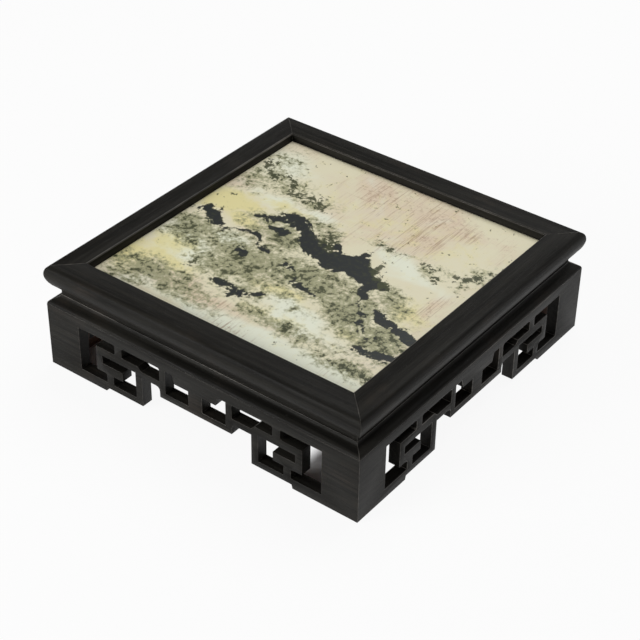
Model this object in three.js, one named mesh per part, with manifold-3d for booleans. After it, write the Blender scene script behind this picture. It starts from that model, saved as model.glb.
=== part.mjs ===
// A square low display stand: a mitred, moulded top frame with a sunk stone panel,
// a recessed waist, a sloping shoulder and four pierced fretwork aprons that end in feet.
// Millimetres, +Z up. The origin is at the middle of the footprint, on the floor.
// The front of the stand faces -Y, and its right side faces +X.

import * as THREE from 'three';
import { mergeVertices } from 'three/addons/utils/BufferGeometryUtils.js';
import Module from 'manifold-3d';

// Overall sizes
const HALF = 150; // half of the width across the aprons
const HEIGHT = 92; // floor to the top of the frame
const SEAM = 0.3; // glue line or clearance between pieces that touch
const OVERCUT = 2; // how far a cutting tool runs past what it cuts

// Aprons, one pierced board on each side
const BOARD = 10; // thickness of an apron board
const APRON_TOP = 57.3;
const TONGUE_IN = 141.4; // the apron's top tongue, measured out from the middle
const TONGUE_OUT = 144.7;
const TONGUE_TOP = 59.1;

// Fretwork columns, each a distance from the middle of the board
const POST_HALF = 6.6; // centre post
const BLOCK_HALF = 21; // block that hangs above the centre post
const CENTRE_SLOT = 29.4; // outer edge of the centre L slots
const CENTRE_HALF = 35; // outer edge of the dropped centre section
const ARCH_HALF = 53.3; // inner side of the foot's post
const HOOK_IN = 59.6; // inner edge of the hooked opening
const HOOK_MID = 73.3;
const HOOK_LOW = 83.2;
const HOOK_OUT = 93.9;
const STEP_OUT = 73; // outer end of the stepped slot
const BRACKET_TOP = 80; // ends of the arms of the bracket-shaped opening
const BRACKET_LOW = 89.8;
const BRACKET_MID = 100;
const BRACKET_OUT = 117.5;
const LEG_EDGE = 91.5; // where the leg's sole ends

// Fretwork levels, each a height above the floor
const FOOT_BAR = 3.5; // underside of the bar between the leg and the post
const FOOT_HOLE = 8.8;
const ARM_LOW = 17.4;
const CENTRE_BOTTOM = 21.8;
const HOOK_ARM = 25.5;
const CENTRE_HOLE = 27.2;
const ARCH_TOP = 31;
const HOOK_TOP = 33;
const STEP_LOW = 36.5;
const ARM_HIGH = 40;
const BLOCK_BOTTOM = 41.2;
const HOLE_TOP = 49;
const CORNER_SMALL = 1.8; // eased corners at the ends of slots
const CORNER_ARCH = 4; // cove where the arch meets the centre section

// Shoulder moulding on top of the aprons
const SHOULDER_LOW = 57.6;
const SHOULDER_TOP = 65.2;
const SHOULDER_IN = 133;

// Waist strip between the shoulder and the frame
const WAIST_IN = 134;
const WAIST_OUT = 141.5;
const WAIST_TONGUE_IN = 136.3;
const WAIST_TONGUE_OUT = 139.5;
const WAIST_TONGUE = 1.9; // length of a waist tongue

// Top frame
const FRAME_LOW = 70.9; // underside
const LIP = 126.3; // inner wall, round the stone
const LIP_EASE = 0.7; // chamfer on the inner arris
const LEDGE_IN = 118; // inner face below the ledge that carries the stone
const LEDGE = 79; // height of the ledge
const ARRIS = 145.6; // where the flat top ends and the moulding starts
const GROOVE_OUT = 122.3; // bottom of the groove for the backing board
const GROOVE_LOW = 75.2;
const GROOVE_HIGH = 77.8;
const TENON = { from: 128, to: 143, inner: 131, outer: 141, low: 80, high: 85 };

// Stone panel, dropped in from above
const STONE_TOP = 85;
const STONE_EASE = 0.4;
const STONE_CORNER = 1.5;

// Backing board and the two battens below it
const BOARD_LOW = 74.5;
const BOARD_HIGH = 78.7;
const BATTEN_X = 55;
const BATTEN_HALF = 7;
const BATTEN_LOW = 66.8;
const BATTEN_TOP = 74.2;
const DOVETAIL = { neck: 3, head: 4.5, height: 1.8 };
const LAP_OUT = 123; // how far a batten's lapped end reaches under the rail
const LAP_LOW = 71.2;
const LAP_HIGH = 73.9;

// Corner blocks glued behind the apron mitres
const BLOCK_LEG = 18;
const BLOCK_LOW = 4;

const wasm = await Module();
wasm.setup();

// Turns a three.js geometry into a solid that can be joined and cut.
function toSolid(geometry) {
  const bare = geometry.clone();
  bare.deleteAttribute('normal');
  bare.deleteAttribute('uv');
  const merged = mergeVertices(bare, 1e-4);
  const mesh = new wasm.Mesh({
    numProp: 3,
    vertProperties: new Float32Array(merged.attributes.position.array),
    triVerts: new Uint32Array(merged.index.array),
  });
  return new wasm.Manifold(mesh);
}

// Turns a solid back into a three.js geometry.
function toGeometry(solid) {
  const mesh = solid.getMesh();
  const geometry = new THREE.BufferGeometry();
  geometry.setAttribute('position', new THREE.BufferAttribute(mesh.vertProperties, 3));
  geometry.setIndex(new THREE.BufferAttribute(mesh.triVerts, 1));
  geometry.computeVertexNormals();
  return geometry;
}

// A box between two corners.
function boxBetween(low, high) {
  const size = high.map((value, i) => value - low[i]);
  const geometry = new THREE.BoxGeometry(...size);
  geometry.translate(...low.map((value, i) => value + size[i] / 2));
  return toSolid(geometry);
}

// The same cutter or tenon on both sides of the YZ plane.
function bothSides(low, high) {
  const right = boxBetween(low, high);
  const left = boxBetween([-high[0], low[1], low[2]], [-low[0], high[1], high[2]]);
  return right.add(left);
}

// A bar with a constant section and both ends mitred at 45 degrees.
// The section is a list of [distance from the middle, height].
function mitredBar(section) {
  const shape = new THREE.Shape(section.map(([out, up]) => new THREE.Vector2(out, up)));
  const geometry = new THREE.ExtrudeGeometry(shape, { depth: 1, bevelEnabled: false });
  const position = geometry.attributes.position;
  const pullBack = SEAM / Math.SQRT2;
  for (let i = 0; i < position.count; i++) {
    const out = position.getX(i);
    const side = 1 - 2 * position.getZ(i);
    position.setXYZ(i, side * (out - pullBack), -out, position.getY(i));
  }
  return toSolid(geometry);
}

// A smooth run of section points through a few measured ones.
function moulding(points, steps) {
  const curve = new THREE.SplineCurve(points.map(([out, up]) => new THREE.Vector2(out, up)));
  return curve.getPoints(steps).map((point) => [point.x, point.y]);
}

// The point at a given distance from one corner towards another.
function stepTowards(corner, other, distance) {
  const dx = other[0] - corner[0];
  const dz = other[1] - corner[1];
  const ratio = distance / Math.hypot(dx, dz);
  return [corner[0] + dx * ratio, corner[1] + dz * ratio];
}

// Draws a closed outline of [x, height, corner radius] on a shape or a hole.
function traceOutline(path, corners) {
  corners.forEach((corner, i) => {
    const before = corners[(i + corners.length - 1) % corners.length];
    const after = corners[(i + 1) % corners.length];
    const radius = corner[2] ?? 0;
    const start = radius > 0 ? stepTowards(corner, before, radius) : corner;
    if (i === 0) {
      path.moveTo(start[0], start[1]);
    } else {
      path.lineTo(start[0], start[1]);
    }
    if (radius > 0) {
      const end = stepTowards(corner, after, radius);
      path.quadraticCurveTo(corner[0], corner[1], end[0], end[1]);
    }
  });
  path.closePath();
  return path;
}

// The other half of a symmetric outline.
function mirrored(corners) {
  return corners.map(([x, up, radius]) => [-x, up, radius]).reverse();
}

// One half of the fret board's openings, from the leg to the middle.
function fretOpenings() {
  const ease = CORNER_SMALL;
  const bracket = [
    [BRACKET_OUT, FOOT_HOLE],
    [BRACKET_OUT, HOLE_TOP],
    [BRACKET_TOP, HOLE_TOP, ease],
    [BRACKET_TOP, ARM_HIGH, ease],
    [BRACKET_MID, ARM_HIGH],
    [BRACKET_MID, ARM_LOW],
    [BRACKET_LOW, ARM_LOW, ease],
    [BRACKET_LOW, FOOT_HOLE],
  ];
  const hook = [
    [HOOK_IN, FOOT_HOLE],
    [HOOK_IN, HOOK_TOP],
    [HOOK_OUT, HOOK_TOP],
    [HOOK_OUT, HOOK_ARM],
    [HOOK_MID, HOOK_ARM],
    [HOOK_MID, ARM_LOW],
    [HOOK_LOW, ARM_LOW],
    [HOOK_LOW, FOOT_HOLE],
  ];
  const steppedSlot = [
    [CENTRE_HALF, HOLE_TOP, ease],
    [CENTRE_HALF, STEP_LOW],
    [ARCH_HALF, STEP_LOW],
    [ARCH_HALF + (ARM_HIGH - STEP_LOW), ARM_HIGH],
    [STEP_OUT, ARM_HIGH],
    [STEP_OUT, HOLE_TOP, ease],
  ];
  const centreSlot = [
    [POST_HALF, CENTRE_HOLE],
    [CENTRE_SLOT, CENTRE_HOLE],
    [CENTRE_SLOT, HOLE_TOP],
    [BLOCK_HALF + 1, HOLE_TOP],
    [BLOCK_HALF - 1, BLOCK_BOTTOM],
    [POST_HALF, BLOCK_BOTTOM],
  ];
  return [bracket, hook, steppedSlot, centreSlot];
}

// The board's outline below its top edge, for the right half.
function fretOutline() {
  return [
    [HALF + OVERCUT, TONGUE_TOP + OVERCUT],
    [HALF + OVERCUT, 0],
    [LEG_EDGE, 0],
    [LEG_EDGE - 1, FOOT_BAR],
    [ARCH_HALF, FOOT_BAR],
    [ARCH_HALF, ARCH_TOP],
    [CENTRE_HALF, ARCH_TOP, CORNER_ARCH],
    [CENTRE_HALF, CENTRE_BOTTOM],
  ];
}

// A flat prism that runs right through the board, standing across the front face.
function throughBoard(corners, margin) {
  const shape = traceOutline(new THREE.Shape(), corners);
  const depth = BOARD + 2 * margin;
  const geometry = new THREE.ExtrudeGeometry(shape, { depth, bevelEnabled: false, curveSegments: 3 });
  geometry.rotateX(Math.PI / 2);
  geometry.translate(0, -(HALF - BOARD) + margin, 0);
  return toSolid(geometry);
}

// The pierced board, a little thicker than the apron that is cut from it.
function fretBoard() {
  const half = fretOutline();
  let board = throughBoard([...half, ...mirrored(half)], OVERCUT);
  for (const opening of fretOpenings()) {
    board = board.subtract(throughBoard(opening, 2 * OVERCUT));
    board = board.subtract(throughBoard(mirrored(opening), 2 * OVERCUT));
  }
  return board;
}

// An apron: the fret board with its mitred ends and a tongue along its top.
function apron() {
  const inside = HALF - BOARD;
  const section = [
    [inside, 0],
    [HALF, 0],
    [HALF, APRON_TOP],
    [TONGUE_OUT, APRON_TOP],
    [TONGUE_OUT, TONGUE_TOP],
    [TONGUE_IN, TONGUE_TOP],
    [TONGUE_IN, APRON_TOP],
    [inside, APRON_TOP],
  ];
  return mitredBar(section).intersect(fretBoard());
}

// The shoulder: a rounded slope, then a small cove up to the waist.
function shoulder() {
  const slope = moulding([[HALF, SHOULDER_LOW], [149.4, 59], [147.4, 60.7], [144.6, 62]], 6);
  const cove = moulding([[144.6, 62], [143.1, 63], [142.2, 64.1], [142, SHOULDER_TOP]], 4);
  const section = [
    [SHOULDER_IN, SHOULDER_LOW],
    [TONGUE_IN - SEAM, SHOULDER_LOW],
    [TONGUE_IN - SEAM, TONGUE_TOP + SEAM],
    [TONGUE_OUT + SEAM, TONGUE_TOP + SEAM],
    [TONGUE_OUT + SEAM, SHOULDER_LOW],
    ...slope,
    ...cove.slice(1),
    [WAIST_TONGUE_OUT + SEAM, SHOULDER_TOP],
    [WAIST_TONGUE_OUT + SEAM, SHOULDER_TOP - WAIST_TONGUE],
    [WAIST_TONGUE_IN - SEAM, SHOULDER_TOP - WAIST_TONGUE],
    [WAIST_TONGUE_IN - SEAM, SHOULDER_TOP],
    [SHOULDER_IN, SHOULDER_TOP],
  ];
  return mitredBar(section);
}

// The waist: a plain strip with a tongue on each long edge.
function waist() {
  const low = SHOULDER_TOP + SEAM;
  const high = FRAME_LOW - SEAM;
  const tongueLow = low - WAIST_TONGUE;
  const tongueHigh = high + WAIST_TONGUE;
  const section = [
    [WAIST_IN, low],
    [WAIST_TONGUE_IN, low],
    [WAIST_TONGUE_IN, tongueLow],
    [WAIST_TONGUE_OUT, tongueLow],
    [WAIST_TONGUE_OUT, low],
    [WAIST_OUT, low],
    [WAIST_OUT, high],
    [WAIST_TONGUE_OUT, high],
    [WAIST_TONGUE_OUT, tongueHigh],
    [WAIST_TONGUE_IN, tongueHigh],
    [WAIST_TONGUE_IN, high],
    [WAIST_IN, high],
  ];
  return mitredBar(section);
}

// The outer moulding of the top frame, from its underside to the top arris.
const FRAME_MOULDING = [
  [141.7, FRAME_LOW],
  [145.8, 73.4],
  [148.7, 77.6],
  [150.2, 82],
  [150.4, 85.4],
  [149.6, 88.8],
  [147.9, 91],
  [ARRIS, HEIGHT],
];

// A plain rail of the top frame, before its joints are cut.
function railBar() {
  const section = [
    [LEDGE_IN, FRAME_LOW],
    [WAIST_TONGUE_IN - SEAM, FRAME_LOW],
    [WAIST_TONGUE_IN - SEAM, FRAME_LOW + WAIST_TONGUE],
    [WAIST_TONGUE_OUT + SEAM, FRAME_LOW + WAIST_TONGUE],
    [WAIST_TONGUE_OUT + SEAM, FRAME_LOW],
    ...moulding(FRAME_MOULDING, 12),
    [LIP + LIP_EASE, HEIGHT],
    [LIP, HEIGHT - LIP_EASE],
    [LIP, LEDGE],
    [LEDGE_IN, LEDGE],
    [LEDGE_IN, GROOVE_HIGH],
    [GROOVE_OUT, GROOVE_HIGH],
    [GROOVE_OUT, GROOVE_LOW],
    [LEDGE_IN, GROOVE_LOW],
  ];
  return mitredBar(section);
}

// The front or back rail: a stub tenon at each end and two notches for the battens.
function tenonRail() {
  const { from, to, inner, outer, low, high } = TENON;
  const tenons = bothSides([from, -outer, low], [to, -inner, high]);
  const notches = bothSides(
    [BATTEN_X - BATTEN_HALF - SEAM, -LAP_OUT - SEAM, FRAME_LOW - OVERCUT],
    [BATTEN_X + BATTEN_HALF + SEAM, -LEDGE_IN + OVERCUT, LAP_HIGH + SEAM],
  );
  return railBar().add(tenons).subtract(notches);
}

// The left or right rail: a mortise at each end for the stub tenons.
function mortiseRail() {
  const { from, to, inner, outer, low, high } = TENON;
  const mortises = bothSides(
    [inner - SEAM, -to - SEAM, low - SEAM],
    [outer + SEAM, -from + SEAM, high + SEAM],
  );
  return railBar().subtract(mortises);
}

// The stone: a flat slab with eased edges.
function stone() {
  const reach = LIP - SEAM - STONE_EASE;
  const r = STONE_CORNER;
  const corners = [[-reach, -reach, r], [reach, -reach, r], [reach, reach, r], [-reach, reach, r]];
  const outline = traceOutline(new THREE.Shape(), corners);
  const bottom = LEDGE + SEAM;
  const geometry = new THREE.ExtrudeGeometry(outline, {
    depth: STONE_TOP - bottom - 2 * STONE_EASE,
    bevelThickness: STONE_EASE,
    bevelSize: STONE_EASE,
    bevelSegments: 1,
    curveSegments: 3,
  });
  geometry.translate(0, 0, bottom + STONE_EASE);
  return toSolid(geometry);
}

// The dovetail that runs the length of a batten, grown by a clearance for its groove.
function dovetail(x, reach, clearance) {
  const { neck, head, height } = DOVETAIL;
  const low = BATTEN_TOP - OVERCUT / 2;
  const high = BATTEN_TOP + height + clearance;
  const shape = traceOutline(new THREE.Shape(), [
    [x - neck - clearance, low],
    [x + neck + clearance, low],
    [x + neck + clearance, BATTEN_TOP],
    [x + head + clearance, high],
    [x - head - clearance, high],
    [x - neck - clearance, BATTEN_TOP],
  ]);
  const geometry = new THREE.ExtrudeGeometry(shape, { depth: 2 * reach, bevelEnabled: false });
  geometry.rotateX(Math.PI / 2);
  geometry.translate(0, reach, 0);
  return toSolid(geometry);
}

// The thin board under the stone, with a tongue all round for the frame's groove.
function backingBoard() {
  const field = LEDGE_IN - SEAM;
  const reach = GROOVE_OUT - SEAM;
  const panel = boxBetween([-field, -field, BOARD_LOW], [field, field, BOARD_HIGH]);
  const tongue = boxBetween([-reach, -reach, GROOVE_LOW + SEAM], [reach, reach, GROOVE_HIGH - SEAM]);
  const grooves = dovetail(-BATTEN_X, reach + OVERCUT, SEAM).add(dovetail(BATTEN_X, reach + OVERCUT, SEAM));
  return panel.add(tongue).subtract(grooves);
}

// A batten: a bar with the dovetail on top and both ends lapped under the rails.
function batten(x) {
  const reach = LEDGE_IN - SEAM;
  const bar = boxBetween([x - BATTEN_HALF, -reach, BATTEN_LOW], [x + BATTEN_HALF, reach, BATTEN_TOP]);
  const laps = boxBetween([x - BATTEN_HALF, -LAP_OUT, LAP_LOW], [x + BATTEN_HALF, LAP_OUT, LAP_HIGH]);
  return bar.add(laps).add(dovetail(x, reach, 0));
}

// A three-cornered glue block that fills the angle behind a mitre.
function cornerBlock() {
  const corner = -(HALF - BOARD - SEAM);
  const shape = traceOutline(new THREE.Shape(), [
    [corner, corner],
    [corner + BLOCK_LEG, corner],
    [corner, corner + BLOCK_LEG],
  ]);
  const depth = APRON_TOP - BLOCK_LOW;
  const geometry = new THREE.ExtrudeGeometry(shape, { depth, bevelEnabled: false });
  geometry.translate(0, 0, BLOCK_LOW);
  return toSolid(geometry);
}

const ebonised = { color: 0x37342f, roughness: 0.42, metalness: 0 };
const bareWood = { color: 0x6a4632, roughness: 0.75, metalness: 0 };
const veined = { color: 0xcfc8ac, roughness: 0.3, metalness: 0 };

const stand = new THREE.Group();
stand.name = 'display_stand';

// Adds one named piece, turned by a number of quarter turns about the middle.
function addPiece(name, solid, finish, quarterTurns = 0) {
  const mesh = new THREE.Mesh(toGeometry(solid), new THREE.MeshStandardMaterial(finish));
  mesh.name = name;
  mesh.rotation.z = (quarterTurns * Math.PI) / 2;
  stand.add(mesh);
}

const sides = ['front', 'right', 'back', 'left'];
sides.forEach((side, turns) => {
  const rail = turns % 2 === 0 ? tenonRail() : mortiseRail();
  addPiece(`frame_rail_${side}`, rail, ebonised, turns);
  addPiece(`waist_strip_${side}`, waist(), ebonised, turns);
  addPiece(`shoulder_moulding_${side}`, shoulder(), ebonised, turns);
  addPiece(`fret_apron_${side}`, apron(), ebonised, turns);
});

const corners = ['front_left', 'front_right', 'back_right', 'back_left'];
corners.forEach((corner, turns) => {
  addPiece(`corner_block_${corner}`, cornerBlock(), bareWood, turns);
});

addPiece('stone_panel', stone(), veined);
addPiece('backing_board', backingBoard(), bareWood);
addPiece('batten_left', batten(-BATTEN_X), bareWood);
addPiece('batten_right', batten(BATTEN_X), bareWood);

export default stand;
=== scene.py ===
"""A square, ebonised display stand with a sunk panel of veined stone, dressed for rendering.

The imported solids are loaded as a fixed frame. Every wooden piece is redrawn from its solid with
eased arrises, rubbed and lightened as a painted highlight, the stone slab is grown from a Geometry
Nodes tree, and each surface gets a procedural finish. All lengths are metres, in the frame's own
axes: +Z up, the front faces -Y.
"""

import logging
import math
from dataclasses import dataclass
from enum import Enum, IntEnum

import bmesh
import bpy
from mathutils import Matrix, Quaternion, Vector, noise

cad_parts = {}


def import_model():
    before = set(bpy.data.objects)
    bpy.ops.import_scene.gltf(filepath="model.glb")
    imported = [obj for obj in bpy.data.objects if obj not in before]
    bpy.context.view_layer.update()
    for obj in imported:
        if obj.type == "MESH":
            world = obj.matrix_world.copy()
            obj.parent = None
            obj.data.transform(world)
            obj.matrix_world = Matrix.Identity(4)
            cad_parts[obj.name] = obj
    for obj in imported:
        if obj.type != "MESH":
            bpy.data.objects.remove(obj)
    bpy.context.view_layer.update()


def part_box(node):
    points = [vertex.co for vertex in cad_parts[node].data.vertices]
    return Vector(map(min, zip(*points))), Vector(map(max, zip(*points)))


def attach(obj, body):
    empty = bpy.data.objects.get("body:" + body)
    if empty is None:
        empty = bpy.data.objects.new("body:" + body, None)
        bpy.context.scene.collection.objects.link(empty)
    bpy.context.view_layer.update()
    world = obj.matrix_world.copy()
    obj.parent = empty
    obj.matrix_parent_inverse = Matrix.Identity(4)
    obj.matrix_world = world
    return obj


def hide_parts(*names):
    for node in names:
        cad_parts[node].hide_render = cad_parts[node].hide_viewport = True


LOG = logging.getLogger("display_stand")
MM = 0.001
STONE_FIELDS = "stone_fields"
STONE_WARMTH = "stone_warmth"

Colour = tuple[float, float, float]
Place = tuple[float, float, float]
Scale = tuple[float, float, float]
Socket = bpy.types.NodeSocket


class Grain(Enum):
    """The axis that the wood's fibres run along."""

    ALONG_X = "x"
    ALONG_Y = "y"
    ALONG_Z = "z"


class Slot(Enum):
    """The record's material slots."""

    EBONISED = "ebonised_wood"
    BARE = "bare_wood"
    STONE = "veined_stone"


class Face(IntEnum):
    """The kinds of face on a wooden piece, in the order of its materials."""

    SHOW = 0
    ARRIS = 1
    HIDDEN = 2


SIDES = {"front": Grain.ALONG_X, "right": Grain.ALONG_Y, "back": Grain.ALONG_X, "left": Grain.ALONG_Y}
CORNERS = ("front_left", "front_right", "back_right", "back_left")


@dataclass(frozen=True)
class Noise:
    """A fractal noise: its scale, its octaves, their roughness and how far it warps itself."""

    scale: float
    detail: float = 6.0
    roughness: float = 0.55
    distortion: float = 0.0


@dataclass(frozen=True)
class Step:
    """Where a colour starts to show, where it is full, and how much of it shows there."""

    low: float
    high: float
    share: float = 1.0


class Nodes:
    """A short way to write a node tree."""

    def __init__(self, tree: bpy.types.NodeTree) -> None:
        """Takes the tree that the nodes go into."""
        self.tree = tree

    def add(self, kind: str, **settings: object) -> bpy.types.Node:
        """Adds a node and sets its properties.

        Args:
            kind: The node's type name.
            settings: Property names and values.

        Returns:
            The new node.
        """
        node = self.tree.nodes.new(kind)
        for key, value in settings.items():
            setattr(node, key, value)
        return node

    def link(self, source: Socket, target: Socket) -> None:
        """Joins two sockets."""
        self.tree.links.new(source, target)

    def feed(self, target: Socket, value: object) -> None:
        """Links a socket, or sets its plain value.

        Args:
            target: The input socket.
            value: An output socket, a number or a colour.
        """
        if isinstance(value, Socket):
            self.link(value, target)
        else:
            target.default_value = value

    def math(self, operation: str, first: object, second: object = 0.0) -> Socket:
        """One arithmetic step.

        Args:
            operation: The Math node's operation.
            first: The first value or socket.
            second: The second value or socket.

        Returns:
            The result.
        """
        node = self.add("ShaderNodeMath", operation=operation)
        self.feed(node.inputs[0], first)
        self.feed(node.inputs[1], second)
        return node.outputs[0]

    def blend(self, factor: Socket, first: bpy.types.Node, second: bpy.types.Node) -> Socket:
        """A mix of two shaders.

        Args:
            factor: How much of the second shader shows.
            first: The first shader's node.
            second: The second shader's node.

        Returns:
            The mixed shader.
        """
        node = self.add("ShaderNodeMixShader")
        self.link(factor, node.inputs["Fac"])
        self.link(first.outputs[0], node.inputs[1])
        self.link(second.outputs[0], node.inputs[2])
        return node.outputs["Shader"]

    def background_rays(self) -> Socket:
        """Tells camera, glossy and transmission rays from the rest.

        Returns:
            1 for those rays and 0 for others.
        """
        path = self.add("ShaderNodeLightPath").outputs
        found = path["Is Camera Ray"]
        for kind in ("Is Glossy Ray", "Is Transmission Ray"):
            found = self.math("MAXIMUM", found, path[kind])
        return found


class Graph(Nodes):
    """A material's tree, with a Principled shader and object coordinates."""

    def __init__(self, name: str) -> None:
        """Starts an empty material with an output and a Principled shader.

        Args:
            name: The material's name.
        """
        self.material = bpy.data.materials.new(name)
        self.material.use_nodes = True
        super().__init__(self.material.node_tree)
        self.tree.nodes.clear()
        self.output = self.add("ShaderNodeOutputMaterial")
        self.shader = self.add("ShaderNodeBsdfPrincipled")
        self.link(self.shader.outputs["BSDF"], self.output.inputs["Surface"])
        self.coords = self.add("ShaderNodeTexCoord").outputs["Object"]

    def stretched(self, scale: Scale) -> Socket:
        """Object coordinates scaled along each axis.

        Args:
            scale: The scale along X, Y and Z.

        Returns:
            The vector output.
        """
        mapping = self.add("ShaderNodeMapping")
        mapping.inputs["Scale"].default_value = scale
        self.link(self.coords, mapping.inputs["Vector"])
        return mapping.outputs["Vector"]

    def noise(self, vector: Socket, kind: Noise) -> Socket:
        """A fractal noise between 0 and 1.

        Args:
            vector: The coordinates.
            kind: The noise's settings.

        Returns:
            The factor output.
        """
        node = self.add("ShaderNodeTexNoise")
        self.link(vector, node.inputs["Vector"])
        node.inputs["Scale"].default_value = kind.scale
        node.inputs["Detail"].default_value = kind.detail
        node.inputs["Roughness"].default_value = kind.roughness
        node.inputs["Distortion"].default_value = kind.distortion
        return node.outputs["Fac"]

    def ramp(self, factor: Socket, low: float, high: float) -> Socket:
        """A smooth step from 0 at low to 1 at high.

        Args:
            factor: The value to map.
            low: Where the step starts.
            high: Where it ends.

        Returns:
            The mapped value.
        """
        node = self.add("ShaderNodeMapRange", interpolation_type="SMOOTHSTEP")
        self.link(factor, node.inputs["Value"])
        node.inputs["From Min"].default_value = low
        node.inputs["From Max"].default_value = high
        return node.outputs["Result"]

    def share(self, value: Socket, step: Step) -> Socket:
        """How much of a colour a value lets show."""
        return self.math("MULTIPLY", self.ramp(value, step.low, step.high), step.share)

    def mix(self, factor: Socket, first: object, second: object) -> Socket:
        """A mix of two colours.

        Args:
            factor: How much of the second colour shows.
            first: The first colour or socket.
            second: The second colour or socket.

        Returns:
            The mixed colour.
        """
        node = self.add("ShaderNodeMix", data_type="RGBA")
        self.link(factor, node.inputs["Factor"])
        for name, colour in (("A", first), ("B", second)):
            self.feed(node.inputs[name], colour if isinstance(colour, Socket) else (*colour, 1.0))
        return node.outputs["Result"]

    def surface(self, colour: Socket, shine: float, roughness: Socket) -> None:
        """Sends a colour, a shine and a roughness to the shader.

        Args:
            colour: The colour socket.
            shine: The specular level.
            roughness: The roughness socket.
        """
        self.link(colour, self.shader.inputs["Base Color"])
        self.link(roughness, self.shader.inputs["Roughness"])
        self.shader.inputs["Specular IOR Level"].default_value = shine

    def around(self, value: Socket, swing: float, level: float) -> Socket:
        """A value scaled, then raised by a level.

        Args:
            value: The value socket.
            swing: What the value is multiplied by.
            level: What is added to it.

        Returns:
            The result.
        """
        result = self.math("MULTIPLY_ADD", value, swing)
        result.node.inputs[2].default_value = level
        return result

    def bump(self, height: Socket, strength: float, distance: float) -> None:
        """Sends a height to the shader's normal.

        Args:
            height: The height socket.
            strength: The bump's strength.
            distance: The height of a full step, in metres.
        """
        node = self.add("ShaderNodeBump")
        node.inputs["Strength"].default_value = strength
        node.inputs["Distance"].default_value = distance
        self.link(height, node.inputs["Height"])
        self.link(node.outputs["Normal"], self.shader.inputs["Normal"])


@dataclass(frozen=True)
class WoodFinish:
    """A wood surface: fibres, pores, rubbed patches and the film over them.

    The rubbing follows the patches' noise about a level of 1 less rubbed_share: it starts wear_before
    under that level and is full wear_after over it.
    """

    name: str
    dark: Colour
    light: Colour
    rubbed: Colour
    rubbed_share: float
    gloss: float
    pore_depth: float
    shine: float
    dust: Colour = (0.12, 0.115, 0.105)
    stretch: float = 26.0
    fibres: Noise = Noise(9.0, 8.0, 0.6, 0.4)
    pores: Noise = Noise(45.0, 4.0, 0.7)
    patches: Noise = Noise(22.0, 5.0, 0.6)
    handling: Noise = Noise(9.0, 3.0, 0.5)
    specks: Noise = Noise(620.0, 2.0)
    fibre_step: Step = Step(0.34, 0.68)
    worn_fibres: Step = Step(0.3, 0.7)
    pore_step: Step = Step(0.3, 0.5, 0.6)
    dust_step: Step = Step(0.70, 0.80, 0.5)
    wear_before: float = 0.12
    wear_after: float = 0.16
    gloss_swing: float = 0.22
    relief: float = 0.55

    def along(self, grain: Grain) -> Scale:
        """The coordinate scale that draws the noise out along the fibres.

        Args:
            grain: The direction of the fibres.

        Returns:
            A scale for each axis.
        """
        across = self.stretch
        return {
            Grain.ALONG_X: (1.0, across, across),
            Grain.ALONG_Y: (across, 1.0, across),
            Grain.ALONG_Z: (across, across, 1.0),
        }[grain]

    def build(self, grain: Grain) -> bpy.types.Material:
        """Builds the material for one grain direction.

        Args:
            grain: The direction of the fibres.

        Returns:
            The material.
        """
        graph = Graph(f"{self.name}_{grain.value}")
        drawn = graph.stretched(self.along(grain))
        fibres = graph.noise(drawn, self.fibres)
        pores = graph.noise(drawn, self.pores)
        patches = graph.noise(graph.coords, self.patches)
        colour = graph.mix(graph.share(fibres, self.fibre_step), self.dark, self.light)
        worn_from = 1.0 - self.rubbed_share
        worn = graph.ramp(patches, worn_from - self.wear_before, worn_from + self.wear_after)
        rub = graph.math("MULTIPLY", worn, graph.share(fibres, self.worn_fibres))
        colour = graph.mix(rub, colour, self.rubbed)
        dust = graph.share(graph.noise(graph.coords, self.specks), self.dust_step)
        colour = graph.mix(dust, colour, self.dust)
        handling = graph.noise(graph.coords, self.handling)
        rough = graph.around(handling, self.gloss_swing, self.gloss - self.gloss_swing / 2.0)
        graph.surface(colour, self.shine, rough)
        height = graph.math("ADD", fibres, graph.share(pores, self.pore_step))
        graph.bump(height, self.relief, self.pore_depth)
        return graph.material


EBONY = WoodFinish(
    name="ebonised_wood", dark=(0.0080, 0.0075, 0.0064), light=(0.0190, 0.0178, 0.0148),
    rubbed=(0.034, 0.026, 0.020), rubbed_share=0.36, gloss=0.42, pore_depth=0.22 * MM, shine=0.08,
)
# The arris finish is partly rubbed wear and partly a painted highlight: its light and rubbed colours are
# far paler than the lacquer, to stand in for light catching the eased edges.
EBONY_ARRIS_WEAR_AND_HIGHLIGHT = WoodFinish(
    name="arris_wear_and_painted_highlight", dark=(0.024, 0.022, 0.019), light=(0.085, 0.078, 0.068),
    rubbed=(0.20, 0.185, 0.165), rubbed_share=0.5, gloss=0.36, pore_depth=0.1 * MM, shine=0.25,
)
BARE = WoodFinish(
    name="bare_wood", dark=(0.050, 0.020, 0.011), light=(0.105, 0.048, 0.026),
    rubbed=(0.15, 0.08, 0.046), rubbed_share=0.4, gloss=0.66, pore_depth=0.3 * MM, shine=0.3,
)


@dataclass(frozen=True)
class Stain:
    """A stain of the stone: where it shows, and how much a field and each noise add to it."""

    step: Step
    base: float = 1.0
    cloud: float = 0.0
    mottle: float = 0.0
    grit: float = 0.0


@dataclass(frozen=True)
class Streak:
    """Fine lines across the stone: a noise, how it is stretched, and where it shows."""

    stretch: Scale
    noise: Noise
    step: Step


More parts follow.
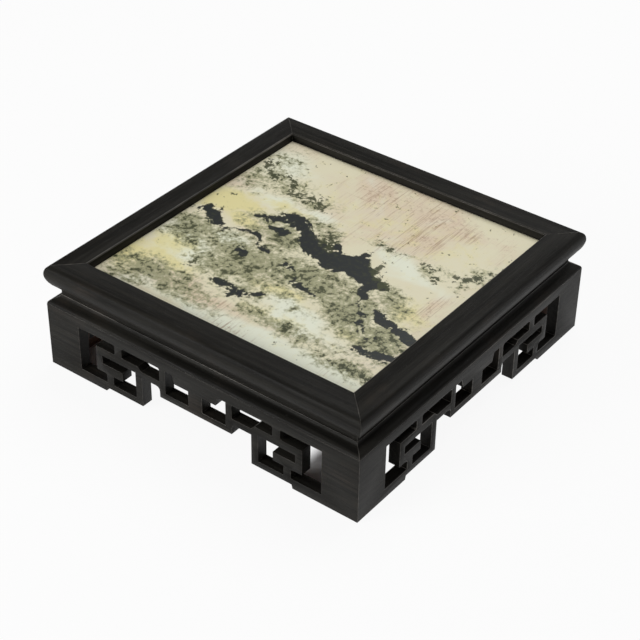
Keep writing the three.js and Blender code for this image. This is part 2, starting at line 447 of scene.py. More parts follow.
class StoneGraph(Graph):
    """The stone's material, with its three noises about zero and the slab's own fields."""

    def __init__(self, name: str, cloud: Noise, mottle: Noise, grit: Noise) -> None:
        """Starts the material with its noises and fields.

        Args:
            name: The material's name.
            cloud: The slow noise.
            mottle: The middling noise.
            grit: The fine noise.
        """
        super().__init__(name)
        self.cloud = self.centred(self.coords, cloud)
        self.mottle = self.centred(self.coords, mottle)
        self.grit = self.centred(self.coords, grit)
        self.dark, self.green, self.cool = self.fields(STONE_FIELDS)
        self.ochre, self.rust, self.moss = self.fields(STONE_WARMTH)

    def fields(self, layer: str) -> tuple[Socket, ...]:
        """The three fields kept in one colour layer of the slab.

        Args:
            layer: The layer's name.

        Returns:
            One socket for each field.
        """
        kept = self.add("ShaderNodeVertexColor", layer_name=layer)
        split = self.add("ShaderNodeSeparateColor")
        self.link(kept.outputs["Color"], split.inputs["Color"])
        return tuple(split.outputs)

    def centred(self, vector: Socket, kind: Noise) -> Socket:
        """A noise moved so that its mean is zero."""
        return self.math("SUBTRACT", self.noise(vector, kind), 0.5)

    def broken(self, base: Socket, stain: Stain) -> Socket:
        """A field broken up by the noises, so that its edge is ragged.

        Args:
            base: The field.
            stain: How much of the field and of each noise is added up.

        Returns:
            The sum.
        """
        total = self.math("MULTIPLY", base, stain.base)
        for part, gain in ((self.cloud, stain.cloud), (self.mottle, stain.mottle), (self.grit, stain.grit)):
            if gain:
                total = self.math("ADD", total, self.math("MULTIPLY", part, gain))
        return total

    def cover(self, base: Socket, stain: Stain) -> Socket:
        """How much of a stain shows, from its field."""
        return self.share(self.broken(base, stain), stain.step)


@dataclass(frozen=True)
class StoneFinish:
    """Polished pale marble: cream and cool fields, brown streaks, green mottling, dark veins."""

    name: str = "veined_stone"
    cream: Colour = (0.82, 0.77, 0.56)
    rose: Colour = (0.76, 0.61, 0.46)
    cool: Colour = (0.86, 0.88, 0.72)
    ochre: Colour = (0.82, 0.74, 0.35)
    rust: Colour = (0.34, 0.20, 0.10)
    sage: Colour = (0.33, 0.33, 0.185)
    moss: Colour = (0.055, 0.062, 0.027)
    ink: Colour = (0.020, 0.024, 0.024)
    cloud: Noise = Noise(15.0, 8.0, 0.62, 0.8)
    mottle: Noise = Noise(100.0, 9.0, 0.66, 0.5)
    grit: Noise = Noise(270.0, 6.0, 0.68, 0.2)
    rosy: Stain = Stain(Step(-0.05, 0.6, 0.85), base=0.5, cloud=2.2)
    pale: Stain = Stain(Step(0.1, 0.9), cloud=2.4)
    golden: Stain = Stain(Step(0.0, 0.75, 0.85), mottle=1.6)
    patchy: Stain = Stain(Step(0.0, 0.8), cloud=2.6)
    lengthwise: Streak = Streak((120.0, 4.0, 1.0), Noise(6.0, 8.0, 0.72), Step(0.02, 0.13, 0.62))
    crosswise: Streak = Streak((6.0, 90.0, 1.0), Noise(4.0, 6.0, 0.7), Step(0.1, 0.26, 0.45))
    blush: Stain = Stain(Step(0.42, 0.95, 0.6), base=0.6, grit=2.2)
    wash: Stain = Stain(Step(0.05, 0.8, 0.9), mottle=2.8, grit=2.6)
    wash_limit: Step = Step(0.0, 0.3)
    flecks: Stain = Stain(Step(0.62, 1.0, 0.92), base=0.7, mottle=3.8, grit=3.2)
    fleck_limit: Step = Step(0.04, 0.34)
    mossy: Stain = Stain(Step(0.46, 0.62, 0.9), mottle=2.6, grit=2.4)
    shadowed: Stain = Stain(Step(0.36, 0.46), mottle=1.7, grit=0.8)
    inked: Step = Step(0.40, 0.52)
    ink_specks: Step = Step(0.0, 0.16, 0.5)
    moss_thins: float = 0.35
    gloss: float = 0.36
    gloss_swing: float = 0.2
    shine: float = 0.35
    relief: float = 0.15
    relief_depth: float = 0.2 * MM

    def build(self) -> bpy.types.Material:
        """Builds the material from the slab's own fields and several noises.

        Returns:
            The material.
        """
        graph = StoneGraph(self.name, self.cloud, self.mottle, self.grit)
        colour = self.ground(graph)
        for coat in (self.stains, self.mottling, self.veins):
            colour = coat(graph, colour)
        graph.surface(colour, self.shine, graph.around(graph.grit, self.gloss_swing, self.gloss))
        graph.bump(graph.mottle, self.relief, self.relief_depth)
        return graph.material

    def ground(self, graph: StoneGraph) -> Socket:
        """The pale ground: cream, drifting to rose, cool white and ochre.

        Args:
            graph: The stone's graph.

        Returns:
            The colour so far.
        """
        colour = graph.mix(graph.cover(graph.rust, self.rosy), self.cream, self.rose)
        colour = graph.mix(graph.cover(graph.cool, self.pale), colour, self.cool)
        return graph.mix(graph.cover(graph.ochre, self.golden), colour, self.ochre)

    def stains(self, graph: StoneGraph, colour: Socket) -> Socket:
        """Fine brown streaks along Y, a few across them, and a brown blush.

        Args:
            graph: The stone's graph.
            colour: The colour so far.

        Returns:
            The colour with the stains over it.
        """
        patchy = graph.cover(graph.rust, self.patchy)
        for streak in (self.lengthwise, self.crosswise):
            drawn = graph.centred(graph.stretched(streak.stretch), streak.noise)
            lines = graph.math("MULTIPLY", graph.share(drawn, streak.step), patchy)
            colour = graph.mix(lines, colour, self.rust)
        return graph.mix(graph.cover(graph.rust, self.blush), colour, self.rust)

    def mottling(self, graph: StoneGraph, colour: Socket) -> Socket:
        """Olive mottling with dark specks, as thick as its field says.

        Args:
            graph: The stone's graph.
            colour: The colour so far.

        Returns:
            The colour with the mottling over it.
        """
        for stain, limit, tint in (
            (self.wash, self.wash_limit, self.sage),
            (self.flecks, self.fleck_limit, self.moss),
        ):
            within = graph.share(graph.green, limit)
            shows = graph.math("MULTIPLY", graph.cover(graph.green, stain), within)
            colour = graph.mix(shows, colour, tint)
        return colour

    def veins(self, graph: StoneGraph, colour: Socket) -> Socket:
        """The dark veins, ragged at their edges, and the mossy ones beside them.

        Args:
            graph: The stone's graph.
            colour: The colour so far.

        Returns:
            The finished colour.
        """
        colour = graph.mix(graph.cover(graph.moss, self.mossy), colour, self.moss)
        dark = graph.broken(graph.dark, self.shadowed)
        colour = graph.mix(graph.share(dark, self.shadowed.step), colour, self.moss)
        inked = graph.math("SUBTRACT", dark, graph.math("MULTIPLY", graph.moss, self.moss_thins))
        lively = graph.mix(graph.share(graph.grit, self.ink_specks), self.ink, self.moss)
        return graph.mix(graph.share(inked, self.inked), colour, lively)


def placed(name: str, data: bpy.types.ID) -> bpy.types.Object:
    """Puts a mesh, lamp or camera in the scene.

    Args:
        name: The object's name.
        data: What it holds.

    Returns:
        The new object.
    """
    made = bpy.data.objects.new(name, data)
    bpy.context.scene.collection.objects.link(made)
    return made


def made_plain(piece: bpy.types.Object, modifier: bpy.types.Modifier) -> bpy.types.Mesh:
    """Turns a piece with one modifier into a plain mesh.

    Args:
        piece: The piece.
        modifier: Its modifier, which is removed.

    Returns:
        The piece's new mesh.
    """
    bpy.context.view_layer.update()
    evaluated = piece.evaluated_get(bpy.context.evaluated_depsgraph_get())
    finished = bpy.data.meshes.new_from_object(evaluated)
    old = piece.data
    piece.modifiers.remove(modifier)
    piece.data = finished
    bpy.data.meshes.remove(old)
    return finished


class WoodShop:
    """Makes each wood material once and hands it out."""

    def __init__(self) -> None:
        """Starts with no materials made."""
        self.made: dict[tuple[str, Grain], bpy.types.Material] = {}

    def get(self, finish: WoodFinish, grain: Grain) -> bpy.types.Material:
        """The material of a finish along one grain.

        Args:
            finish: The wood finish.
            grain: The direction of the fibres.

        Returns:
            The shared material.
        """
        key = (finish.name, grain)
        if key not in self.made:
            self.made[key] = finish.build(grain)
        return self.made[key]


@dataclass
class WoodPiece:
    """One wooden piece, redrawn from its solid with eased arrises.

    A face that looks inwards or down is hidden where it lies nearer the middle than hidden_reach.
    """

    node: str
    grain: Grain
    slot: Slot
    shop: WoodShop
    ease: float = 0.35 * MM
    hidden_reach: float = 0.0
    inward_share: float = 0.45
    down_share: float = 0.9
    weld: float = 0.004 * MM
    mitre_gap: float = 0.4 * MM
    mitre_left: float = 0.01 * MM
    flat_angle: float = math.radians(0.6)
    sharp_angle: float = math.radians(24.0)
    shade_angle: float = math.radians(32.0)

    def build(self) -> bpy.types.Object:
        """Copies the solid, merges it, eases its edges and dresses its faces.

        Returns:
            The finished piece.
        """
        mesh = bpy.data.objects[self.node].data.copy()
        mesh.name = f"{self.node}_dressed"
        piece = placed(f"{self.node}_dressed", mesh)
        self.clean(mesh)
        if self.slot is Slot.EBONISED:
            self.close_mitres(mesh)
        self.dress(mesh)
        self.soften(piece)
        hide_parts(self.node)
        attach(piece, "root")
        LOG.info("%s: %d faces", piece.name, len(piece.data.polygons))
        return piece

    def clean(self, mesh: bpy.types.Mesh) -> None:
        """Welds the loose triangles and joins those that lie in one plane.

        Args:
            mesh: The copied mesh.
        """
        work = bmesh.new()
        work.from_mesh(mesh)
        bmesh.ops.remove_doubles(work, verts=work.verts, dist=self.weld)
        bmesh.ops.dissolve_limit(work, angle_limit=self.flat_angle, verts=work.verts, edges=work.edges)
        work.to_mesh(mesh)
        work.free()

    def close_mitres(self, mesh: bpy.types.Mesh) -> None:
        """Draws the mitred ends up to the diagonal, so that no light shows through the joint.

        Args:
            mesh: The welded mesh.
        """
        for vertex in mesh.vertices:
            point = vertex.co
            if abs(abs(point.x) - abs(point.y)) > self.mitre_gap:
                continue
            if self.grain is Grain.ALONG_X:
                point.x = math.copysign(abs(point.y) - self.mitre_left, point.x)
            else:
                point.y = math.copysign(abs(point.x) - self.mitre_left, point.y)

    def dress(self, mesh: bpy.types.Mesh) -> None:
        """Gives outer faces the lacquer and hidden ones the bare wood, or bare wood all over.

        Args:
            mesh: The welded mesh.
        """
        mesh.materials.clear()
        # The arris faces take the rubbed finish with its painted highlight.
        finishes = (BARE, BARE) if self.slot is Slot.BARE else (EBONY, EBONY_ARRIS_WEAR_AND_HIGHLIGHT, BARE)
        for finish in finishes:
            mesh.materials.append(self.shop.get(finish, self.grain))
        for face in mesh.polygons:
            if self.hides(face):
                face.material_index = Face.HIDDEN

    def hides(self, face: bpy.types.MeshPolygon) -> bool:
        """Whether a face looks inwards or down behind the piece's show side.

        Args:
            face: The face.

        Returns:
            True for a hidden face.
        """
        middle = face.center.xy
        if max(abs(middle.x), abs(middle.y)) >= self.hidden_reach:
            return False
        outward = face.normal.x * middle.x + face.normal.y * middle.y
        return outward < -self.inward_share * middle.length or face.normal.z < -self.down_share

    def soften(self, piece: bpy.types.Object) -> None:
        """Adds a small bevel whose faces take the rubbed arris finish with its painted highlight, and makes
        it plain mesh.

        Args:
            piece: The piece to ease.
        """
        bevel = piece.modifiers.new("arris", "BEVEL")
        bevel.width = self.ease
        bevel.segments = 2
        bevel.limit_method = "ANGLE"
        bevel.angle_limit = self.sharp_angle
        bevel.material = Face.ARRIS
        finished = made_plain(piece, bevel)
        finished.polygons.foreach_set("use_smooth", [True] * len(finished.polygons))
        finished.set_sharp_from_angle(angle=self.shade_angle)


@dataclass(frozen=True)
class Tier:
    """A piece that repeats on each side: its name, its easing and where its hidden faces begin."""

    name: str
    ease: float
    hidden_reach: float

    def build(self, side: str, shop: WoodShop) -> None:
        """Builds the tier's piece for one side, with its grain along that side.

        Args:
            side: The side's name.
            shop: Where its materials come from.
        """
        WoodPiece(
            f"{self.name}_{side}", SIDES[side], Slot.EBONISED, shop,
            ease=self.ease, hidden_reach=self.hidden_reach,
        ).build()


@dataclass
class TopFrame:
    """The four mitred rails round the stone."""

    shop: WoodShop
    rails: Tier = Tier("frame_rail", 0.4 * MM, 120.5 * MM)

    def build(self) -> None:
        """Builds the rails, front and back along X, left and right along Y."""
        for side in SIDES:
            self.rails.build(side, self.shop)


@dataclass
class Base:
    """The waist, shoulder, fretwork aprons and the blocks behind their mitres."""

    shop: WoodShop
    waist: Tier = Tier("waist_strip", 0.25 * MM, 134.5 * MM)
    shoulder: Tier = Tier("shoulder_moulding", 0.3 * MM, 133.5 * MM)
    apron: Tier = Tier("fret_apron", 0.45 * MM, 140.8 * MM)

    def build(self) -> None:
        """Builds the three tiers on each side, then the corner blocks."""
        for side in SIDES:
            for tier in (self.waist, self.shoulder, self.apron):
                tier.build(side, self.shop)
        for corner in CORNERS:
            WoodPiece(f"corner_block_{corner}", Grain.ALONG_Z, Slot.BARE, self.shop).build()


@dataclass
class Underside:
    """The backing board and its battens."""

    shop: WoodShop

    def build(self) -> None:
        """Builds the board with its grain across the battens."""
        WoodPiece("backing_board", Grain.ALONG_X, Slot.BARE, self.shop).build()
        for side in ("left", "right"):
            WoodPiece(f"batten_{side}", Grain.ALONG_Y, Slot.BARE, self.shop).build()


@dataclass(frozen=True)
class Bloom:
    """A soft patch of colour in the stone, as an ellipse in millimetres on its face."""

    x: float
    y: float
    long: float
    wide: float
    turn: float = 0.0
    strength: float = 1.0
    falloff: float = 1.1

    def at(self, x: float, y: float) -> float:
        """How strongly the patch shows at a point.

        Args:
            x: The point's X, in millimetres.
            y: The point's Y, in millimetres.

        Returns:
            A value from 0 to the patch's strength.
        """
        angle = math.radians(self.turn)
        dx = x - self.x
        dy = y - self.y
        along = (dx * math.cos(angle) + dy * math.sin(angle)) / self.long
        across = (dy * math.cos(angle) - dx * math.sin(angle)) / self.wide
        return self.strength * math.exp(-(along * along + across * across) * self.falloff)


@dataclass(frozen=True)
class Vein:
    """A vein along a chain of points, each an X, a Y and a half width in millimetres."""

    chain: tuple[tuple[float, float, float], ...]

    def depth(self, x: float, y: float) -> float:
        """How far inside the vein a point lies.

        Args:
            x: The point's X, in millimetres.
            y: The point's Y, in millimetres.

        Returns:
            Millimetres, negative outside.
        """
        deepest = -math.inf
        for (ax, ay, aw), (bx, by, bw) in zip(self.chain, self.chain[1:]):
            dx = bx - ax
            dy = by - ay
            share = ((x - ax) * dx + (y - ay) * dy) / (dx * dx + dy * dy)
            share = min(max(share, 0.0), 1.0)
            gap = math.hypot(x - ax - share * dx, y - ay - share * dy)
            deepest = max(deepest, aw + share * (bw - aw) - gap)
        return deepest


# The dark ridge that crosses the stone, then the smaller dark veins round it.
DARK_VEINS = (
    Vein((
        (-77, 17, 1.0), (-66, 23, 2.5), (-52, 30, 5.0), (-40, 27, 5.5), (-27, 18, 5.5), (-14, 8, 6.5),
        (-4, 2, 8.5), (7, 4, 11.0), (18, 1, 12.5), (30, 4, 13.0), (43, 0, 11.0), (54, -3, 8.0),
        (61, -6, 3.0),
    )),
    Vein(((-3, 15, 4.0), (3, 20, 2.5))),
    Vein(((26, 15, 5.0), (31, 20, 3.0))),
    Vein(((52, -12, 3.0), (57, -22, 2.5), (60, -29, 1.0))),
    Vein(((-58, 11, 2.2), (-47, 10, 4.2), (-36, 8, 2.0))),
    Vein(((-127, -5, 1.5), (-113, 2, 3.6), (-104, -5, 5.5), (-94, -12, 3.0), (-84, -16, 0.8))),
    Vein(((-75, -14, 0.6), (-66, -8, 1.6), (-56, -9, 2.0), (-46, -16, 1.0), (-34, -22, 0.8))),
    Vein(((-53, -30, 2.4), (-49, -34, 1.8))),
    Vein(((-14, -26, 1.4), (-7, -29, 0.8))),
    Vein(((2, -40, 1.2), (13, -42, 2.6), (25, -42, 0.8))),
    Vein(((-42, -74, 1.6), (-33, -78, 1.8), (-22, -80, 2.8), (-12, -73, 2.2), (-7, -66, 1.0))),
    Vein(((77, -36, 2.2), (85, -40, 4.6), (95, -44, 4.0))),
    Vein(((101, -40, 2.6), (110, -43, 3.6), (126, -48, 4.2))),
    Vein(((90, -78, 0.8), (100, -80, 2.2), (110, -76, 3.2), (126, -72, 4.0))),
    Vein(((57, -30, 0.4), (66, -40, 0.9), (76, -50, 0.9), (86, -58, 0.6), (95, -66, 0.2))),
)
# Softer veins, mossy and broken up.
MOSS_VEINS = (
    Vein(((44, 14, 3.0), (54, 8, 4.0), (63, -4, 3.5))),
    Vein(((-124, 90, 2.0), (-112, 80, 3.0), (-98, 68, 2.0))),
    Vein(((-92, 80, 1.5), (-80, 71, 3.0), (-72, 60, 1.5))),
    Vein(((-76, 60, 1.0), (-62, 60, 1.6), (-51, 66, 3.0), (-42, 58, 2.0), (-28, 53, 0.8))),
    Vein(((-18, 28, 1.0), (-6, 22, 2.4), (0, 12, 1.0))),
    Vein(((31, 41, 0.8), (38, 43, 1.8), (48, 42, 0.8))),
    Vein(((70, 42, 1.6), (78, 44, 4.0), (86, 36, 1.0), (90, 29, 1.5))),
    Vein(((102, 38, 2.2), (111, 43, 3.0), (118, 55, 1.8), (124, 74, 2.6))),
    Vein(((20, -92, 0.6), (34, -90, 1.6), (52, -94, 0.6))),
    Vein(((62, -98, 0.6), (88, -100, 1.8), (124, -104, 1.6))),
    Vein(((-78, -72, 1.0), (-70, -66, 1.4))),
)
# Patches of olive mottling, then of cool white, of yellow and of brown.
GREEN_BLOOMS = (
    Bloom(-108, 66, 22, 30, -20, 0.62), Bloom(-82, 68, 24, 14, -28, 0.66), Bloom(-52, 60, 26, 9, 0, 0.6),
    Bloom(-110, 100, 20, 20, 0, 0.42), Bloom(-60, 22, 30, 12, 24, 0.85), Bloom(-42, 4, 36, 20, -12, 1.0),
    Bloom(-42, -42, 44, 34, 0, 1.05), Bloom(-104, -32, 28, 20, -8, 0.95), Bloom(12, -30, 48, 20, -4, 1.05),
    Bloom(64, -44, 38, 24, -38, 1.05), Bloom(100, -62, 32, 22, -10, 1.0), Bloom(76, -16, 28, 14, -34, 0.8),
    Bloom(-16, 26, 26, 11, -36, 0.62), Bloom(38, 42, 20, 6, 6, 0.55), Bloom(82, 38, 16, 10, -30, 0.62),
    Bloom(114, 50, 9, 24, -24, 0.6), Bloom(-80, -96, 60, 15, -6, 0.95), Bloom(36, -92, 52, 9, -6, 0.88),
    Bloom(98, -101, 42, 9, -4, 0.92), Bloom(-18, -74, 26, 9, 12, 0.74), Bloom(-104, -112, 26, 10, 0, 0.7),
    Bloom(6, -62, 34, 9, -12, 0.6),
)
COOL_BLOOMS = (
    Bloom(-92, -54, 36, 22, -24), Bloom(-82, 44, 34, 12, -6, 0.9), Bloom(66, 26, 46, 14, -14),
    Bloom(34, -74, 44, 17, -12), Bloom(50, -114, 100, 12, 0, 1.2), Bloom(-100, 92, 34, 24, -20, 0.8),
    Bloom(-72, -26, 26, 10, 0, 0.8), Bloom(-40, -114, 50, 8, 0, 0.7), Bloom(-36, 44, 26, 10, -10, 0.8),
)
OCHRE_BLOOMS = (
    Bloom(-102, 18, 26, 15, 16, 1.1), Bloom(-78, 4, 20, 9, 0, 0.9), Bloom(-118, -84, 22, 18, 0, 1.0),
    Bloom(-92, -76, 34, 12, -8, 0.75), Bloom(-66, 40, 30, 8, 0, 0.55), Bloom(94, -20, 20, 13, -40, 0.6),
    Bloom(0, -56, 30, 10, 0, 0.7), Bloom(-104, -58, 20, 16, 0, 0.75), Bloom(80, -66, 16, 8, 0, 0.5),
    Bloom(30, 70, 90, 30, 0, 0.22), Bloom(20, -84, 40, 6, 0, 0.4),
)
RUST_BLOOMS = (
    Bloom(-16, 104, 26, 22, 0, 0.9), Bloom(52, 68, 20, 16, 0, 0.9), Bloom(-112, 46, 16, 12, 0, 0.85),
    Bloom(108, -10, 14, 34, 0, 0.85), Bloom(40, 104, 90, 28, 0, 0.8), Bloom(20, 44, 70, 24, 0, 0.55),
    Bloom(-40, -96, 60, 12, -4, 0.75), Bloom(-36, -46, 22, 20, 0, 0.7), Bloom(2, -116, 18, 8, 0, 0.95),
    Bloom(-100, 118, 26, 10, 0, 0.5), Bloom(112, 100, 16, 26, 0, 0.6),
)


@dataclass
class StoneSlab:
    """The polished slab, a fine grid grown by Geometry Nodes and shaded by its own fields.

    The top face's points within rim of its edge are eased, and a point is on a face when it lies
    within near of its level. A vein's field rises from 0 to 1 over vein_reach millimetres. Each warp
    is a noise's scale and its reach in millimetres, and the noises are read at warp_level.
    """

    node: str = "stone_panel"
    cells: int = 161
    layers: int = 3
    ease: float = 0.35 * MM
    rim: float = 0.6 * MM
    near: float = 0.1 * MM
    vein_reach: float = 13.0
    warps: tuple[tuple[float, float], ...] = ((0.045, 7.0), (0.14, 3.0))
    warp_level: float = 3.7
    seed: int = 11

    def build(self) -> bpy.types.Object:
        """Builds the slab in the space of its solid.

        Returns:
            The finished slab.
        """
        low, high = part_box(self.node)
        tree = self.tree(StoneFinish().build())
        values = {
            "Size": tuple(high - low),
            "Centre": tuple((high + low) / 2.0),
            "Cells": self.cells,
            "Layers": self.layers,
            "Top": high.z,
            "Edge": (high.x - low.x) / 2.0 - self.rim,
            "Ease": self.ease,
        }
        piece = placed("stone_panel_dressed", bpy.data.meshes.new("stone_seed"))
        modifier = piece.modifiers.new("slab", "NODES")
        modifier.node_group = tree
        for item in tree.interface.items_tree:
            if item.name in values:
                modifier[item.identifier] = values[item.name]
        finished = made_plain(piece, modifier)
        self.paint(finished)
        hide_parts(self.node)
        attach(piece, "root")
        LOG.info("%s: %d faces", piece.name, len(finished.polygons))
        return piece

    def tree(self, material: bpy.types.Material) -> bpy.types.GeometryNodeTree:
        """The node tree: a gridded block whose top edge is eased all round.

        Args:
            material: The stone's finish.

        Returns:
            The tree.
        """
        tree = bpy.data.node_groups.new("stone_slab", "GeometryNodeTree")
        sockets = (
            ("Size", "NodeSocketVector"), ("Centre", "NodeSocketVector"), ("Cells", "NodeSocketInt"),
            ("Layers", "NodeSocketInt"), ("Top", "NodeSocketFloat"), ("Edge", "NodeSocketFloat"),
            ("Ease", "NodeSocketFloat"),
        )
        for name, kind in sockets:
            tree.interface.new_socket(name, in_out="INPUT", socket_type=kind)
        tree.interface.new_socket("Geometry", in_out="OUTPUT", socket_type="NodeSocketGeometry")
        nodes = Nodes(tree)
        group = nodes.add("NodeGroupInput")
        given = group.outputs
        block = nodes.add("GeometryNodeMeshCube")
        nodes.link(given["Size"], block.inputs["Size"])
        nodes.link(given["Cells"], block.inputs["Vertices X"])
        nodes.link(given["Cells"], block.inputs["Vertices Y"])
        nodes.link(given["Layers"], block.inputs["Vertices Z"])
        place = nodes.add("GeometryNodeTransform")
        nodes.link(block.outputs["Mesh"], place.inputs["Geometry"])
        nodes.link(given["Centre"], place.inputs["Translation"])
        move = nodes.add("GeometryNodeSetPosition")
        nodes.link(place.outputs["Geometry"], move.inputs["Geometry"])
        nodes.link(self.easing(nodes, group), move.inputs["Offset"])
        real = nodes.add("GeometryNodeRealizeInstances")
        nodes.link(move.outputs["Geometry"], real.inputs["Geometry"])
        finish = nodes.add("GeometryNodeSetMaterial")
        finish.inputs["Material"].default_value = material
        nodes.link(real.outputs["Geometry"], finish.inputs["Geometry"])
        nodes.link(finish.outputs["Geometry"], nodes.add("NodeGroupOutput").inputs["Geometry"])
        return tree

    def easing(self, nodes: Nodes, group: bpy.types.Node) -> Socket:
        """The move that eases the top edge: the top face's rim goes down by the ease.

        Args:
            nodes: The tree's nodes.
            group: The node that holds the tree's inputs.

        Returns:
            The offset of each point.
        """
        split = nodes.add("ShaderNodeSeparateXYZ")
        nodes.link(nodes.add("GeometryNodeInputPosition").outputs["Position"], split.inputs["Vector"])
        x_reach = nodes.math("ABSOLUTE", split.outputs["X"])
        y_reach = nodes.math("ABSOLUTE", split.outputs["Y"])
        at_edge = nodes.math("GREATER_THAN", nodes.math("MAXIMUM", x_reach, y_reach), group.outputs["Edge"])
        below_top = nodes.math("SUBTRACT", group.outputs["Top"], self.near)
        at_top = nodes.math("GREATER_THAN", split.outputs["Z"], below_top)
        drop = nodes.math("MULTIPLY", nodes.math("MULTIPLY", at_edge, at_top), group.outputs["Ease"])
        offset = nodes.add("ShaderNodeCombineXYZ")
        nodes.link(nodes.math("MULTIPLY", drop, -1.0), offset.inputs["Z"])
        return offset.outputs["Vector"]

    def paint(self, mesh: bpy.types.Mesh) -> None:
        """Writes the fields on all the slab's points but those on the board.

        Args:
            mesh: The slab's mesh.
        """
        fields = mesh.color_attributes.new(STONE_FIELDS, "FLOAT_COLOR", "POINT")
        warmth = mesh.color_attributes.new(STONE_WARMTH, "FLOAT_COLOR", "POINT")
        bottom = min(vertex.co.z for vertex in mesh.vertices)
        noise.seed_set(self.seed)
        for index, vertex in enumerate(mesh.vertices):
            if vertex.co.z < bottom + self.near:
                continue
            x, y = self.warped(vertex.co)
            fields.data[index].color = (
                self.deepest(DARK_VEINS, x, y), self.strongest(GREEN_BLOOMS, x, y),
                self.strongest(COOL_BLOOMS, x, y), 1.0,
            )
            warmth.data[index].color = (
                self.strongest(OCHRE_BLOOMS, x, y), self.strongest(RUST_BLOOMS, x, y),
                self.deepest(MOSS_VEINS, x, y), 1.0,
            )

    def warped(self, point: Vector) -> tuple[float, float]:
        """A point on the face, pushed about by slow noises so that no edge is straight.

        Args:
            point: The vertex, in metres.

        Returns:
            X and Y in millimetres.
        """
        x = point.x / MM
        y = point.y / MM
        moved_x = x
        moved_y = y
        for scale, reach in self.warps:
            shift = noise.noise_vector(Vector((x * scale, y * scale, self.warp_level)))
            moved_x += reach * shift.x
            moved_y += reach * shift.y
        return moved_x, moved_y

    def deepest(self, veins: tuple[Vein, ...], x: float, y: float) -> float:
        """How deep a point lies in any of several veins, as 0 to 1 with the edge at a half."""
        depth = max(vein.depth(x, y) for vein in veins)
        return min(max(0.5 + depth / self.vein_reach, 0.0), 1.0)

    @staticmethod
    def strongest(blooms: tuple[Bloom, ...], x: float, y: float) -> float:
        """The strongest of several patches at a point."""
        return max(bloom.at(x, y) for bloom in blooms)


@dataclass(frozen=True)
class Lamp:
    """A square lamp: its place and side in metres, its power in watts and what it faces."""

    name: str
    place: Place
    side: float
    power: float
    aim: Place = (0.0, 0.0, 50.0 * MM)

    def hang(self) -> None:
        """Adds the lamp to the scene, turned to what it faces."""
        data = bpy.data.lights.new(self.name, "AREA")
        data.shape = "SQUARE"
        data.size = self.side
        data.energy = self.power
        lamp = placed(self.name, data)
        lamp.location = self.place
        ahead = Vector(self.aim) - Vector(self.place)
        lamp.rotation_euler = ahead.to_track_quat("-Z", "Y").to_euler()


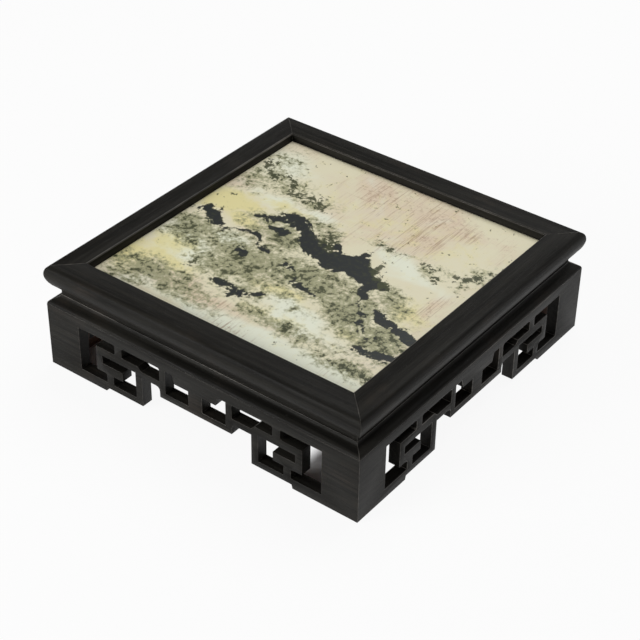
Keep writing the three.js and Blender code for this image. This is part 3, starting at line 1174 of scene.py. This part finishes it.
@dataclass
class Studio:
    """The floor, the lamps, the world and the camera.

    A reflected ray finds white up to a slope of white_until and fades to overhead at dark_from. The
    floor shows white by glow_share, but not inside the feet: that shade starts shade_x and shade_y
    from a middle moved by shade_shift along X, and stops at shade_end from the stand's own middle.
    """

    focal_px: float = 1687.5
    frame_px: float = 640.0
    sensor: float = 36.0
    eye: Place = (0.6543, -0.8679, 0.8184)
    heading: float = math.radians(36.96)
    tilt: float = math.radians(36.18)
    roll: float = math.radians(0.89)
    key: Lamp = Lamp("key", (-0.9, -1.9, 0.9), 1.2, 34.0)
    fill: Lamp = Lamp("fill", (1.5, -0.4, 0.9), 1.0, 1.2)
    top: Lamp = Lamp("top", (0.0, 0.9, 1.7), 1.4, 18.0)
    room_light: float = 0.25
    white_until: float = 0.05
    dark_from: float = 0.35
    overhead: float = 0.18
    floor_reach: float = 6.0
    floor_white: Colour = (0.82, 0.82, 0.82)
    floor_roughness: float = 0.9
    floor_shine: float = 0.1
    glow_share: float = 0.92
    shade_shift: float = 9.0 * MM
    shade_x: float = 89.0 * MM
    shade_y: float = 98.0 * MM
    shade_end: float = 145.0 * MM
    shade_blur: float = 7.0 * MM

    def build(self) -> None:
        """Sets up everything that isn't the object."""
        self.camera()
        self.floor()
        self.world()
        for lamp in (self.key, self.fill, self.top):
            lamp.hang()
        bpy.context.scene.view_settings.view_transform = "Standard"

    def camera(self) -> None:
        """The photograph's camera, solved from the stand's corners."""
        data = bpy.data.cameras.new("camera")
        data.sensor_width = self.sensor
        data.lens = self.focal_px / self.frame_px * self.sensor
        camera = placed("camera", data)
        camera.location = self.eye
        ahead = Vector((
            -math.sin(self.heading) * math.cos(self.tilt),
            math.cos(self.heading) * math.cos(self.tilt),
            -math.sin(self.tilt),
        ))
        level = ahead.to_track_quat("-Z", "Y")
        camera.rotation_euler = (level @ Quaternion((0.0, 0.0, 1.0), self.roll)).to_euler()
        bpy.context.scene.camera = camera

    def floor(self) -> None:
        """A wide pale floor that shows white and keeps the shadow."""
        mesh = bpy.data.meshes.new("floor")
        reach = self.floor_reach
        corners = [(-reach, -reach, 0.0), (reach, -reach, 0.0), (reach, reach, 0.0), (-reach, reach, 0.0)]
        mesh.from_pydata(corners, [], [(0, 1, 2, 3)])
        floor = placed("floor", mesh)
        graph = Graph("floor_white")
        graph.shader.inputs["Base Color"].default_value = (*self.floor_white, 1.0)
        graph.shader.inputs["Roughness"].default_value = self.floor_roughness
        graph.shader.inputs["Specular IOR Level"].default_value = self.floor_shine
        glow = graph.add("ShaderNodeEmission")
        open_floor = graph.math("SUBTRACT", 1.0, self.foot_shade(graph))
        glowing = graph.math("MULTIPLY", open_floor, self.glow_share)
        seen = graph.math("MULTIPLY", graph.background_rays(), glowing)
        graph.link(graph.blend(seen, graph.shader, glow), graph.output.inputs["Surface"])
        mesh.materials.append(graph.material)

    def foot_shade(self, graph: Graph) -> Socket:
        """The floor inside the four feet, which is left to the stand's own shadow.

        Args:
            graph: The floor material's graph.

        Returns:
            1 in that shadow and 0 elsewhere.
        """
        split = graph.add("ShaderNodeSeparateXYZ")
        graph.link(graph.coords, split.inputs["Vector"])
        bands = []
        for axis, shift, start in (("X", self.shade_shift, self.shade_x), ("Y", 0.0, self.shade_y)):
            place = split.outputs[axis]
            reach = graph.math("ABSOLUTE", graph.math("ADD", place, shift))
            inside = graph.ramp(reach, start - self.shade_blur, start + self.shade_blur)
            within = graph.math("LESS_THAN", graph.math("ABSOLUTE", place), self.shade_end)
            bands.append(graph.math("MULTIPLY", inside, within))
        return graph.math("MULTIPLY", *bands)

    def world(self) -> None:
        """A dim room for soft light, white to the camera and darker overhead in reflections."""
        world = bpy.data.worlds.new("studio")
        bpy.context.scene.world = world
        world.use_nodes = True
        nodes = Nodes(world.node_tree)
        nodes.tree.nodes.clear()
        room = nodes.add("ShaderNodeBackground")
        room.inputs["Strength"].default_value = self.room_light
        seen = nodes.add("ShaderNodeBackground")
        split = nodes.add("ShaderNodeSeparateXYZ")
        nodes.link(nodes.add("ShaderNodeTexCoord").outputs["Generated"], split.inputs["Vector"])
        fade = nodes.add("ShaderNodeMapRange")
        fade.inputs["From Min"].default_value = self.white_until
        fade.inputs["From Max"].default_value = self.dark_from
        fade.inputs["To Min"].default_value = 1.0
        fade.inputs["To Max"].default_value = self.overhead
        nodes.link(split.outputs["Z"], fade.inputs["Value"])
        to_camera = nodes.add("ShaderNodeLightPath").outputs["Is Camera Ray"]
        nodes.link(nodes.math("MAXIMUM", fade.outputs["Result"], to_camera), seen.inputs["Strength"])
        output = nodes.add("ShaderNodeOutputWorld")
        nodes.link(nodes.blend(nodes.background_rays(), room, seen), output.inputs["Surface"])


def main() -> None:
    """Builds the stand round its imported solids."""
    logging.basicConfig(level=logging.INFO, format="%(name)s: %(message)s")
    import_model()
    Studio().build()
    shop = WoodShop()
    TopFrame(shop).build()
    Base(shop).build()
    Underside(shop).build()
    StoneSlab().build()
    bpy.context.view_layer.update()


if __name__ == "__main__":
    main()
